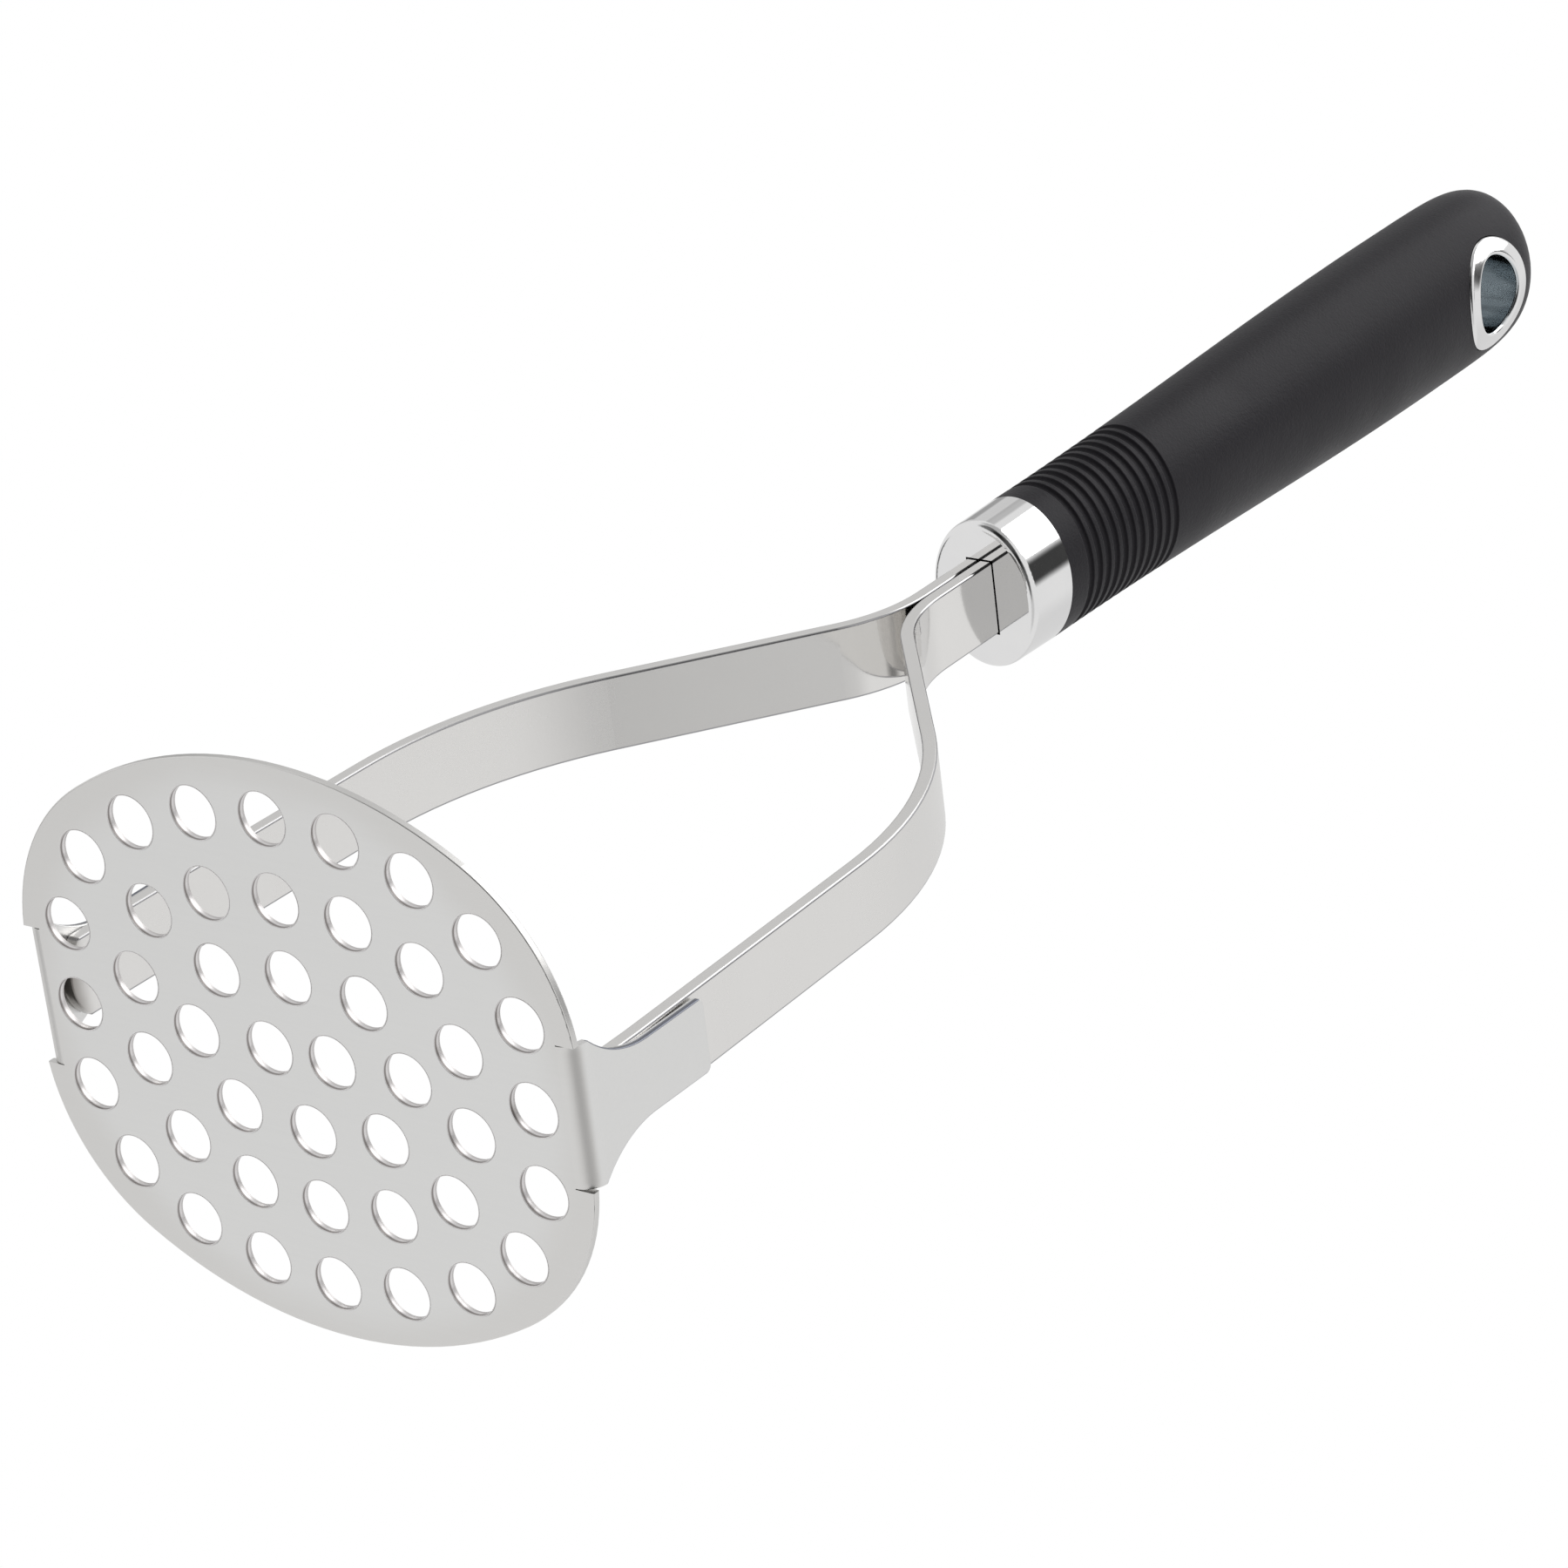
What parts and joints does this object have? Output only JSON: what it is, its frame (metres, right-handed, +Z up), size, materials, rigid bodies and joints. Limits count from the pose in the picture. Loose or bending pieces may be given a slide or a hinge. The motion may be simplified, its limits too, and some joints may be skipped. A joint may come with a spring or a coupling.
{
  "type": "potato masher",
  "caption": "Hand potato masher: a perforated oval plate on two bowed strip arms that meet in a chrome ferrule under a soft black grip with a hanging hole.",
  "frame": {"origin": "centre of the mashing plate's underside", "axes": "+Z up the handle, X from tab to tab across the plate's long way, Y across the flat arms"},
  "size_m": [0.088, 0.079, 0.297],
  "materials": {
    "plate_steel": "fine blasted satin stainless steel, smooth bright hole edges",
    "arm_steel": "satin stainless steel, bright rolled edges, polished towards the ferrule",
    "chrome": "mirror polished",
    "grip_rubber": "soft matte with a faint sheen",
    "core_plastic": "plain moulded",
    "pin_steel": "plain turned"
  },
  "bodies": {
    "root": {"mashing_plate": "plate_steel", "right_arm": "arm_steel", "left_arm": "arm_steel", "ferrule": "chrome", "handle_core": "core_plastic", "grip_sleeve": "grip_rubber", "right_eyelet": "chrome", "left_eyelet": "chrome", "tang_pin": "pin_steel"}
  },
  "joints": []
}
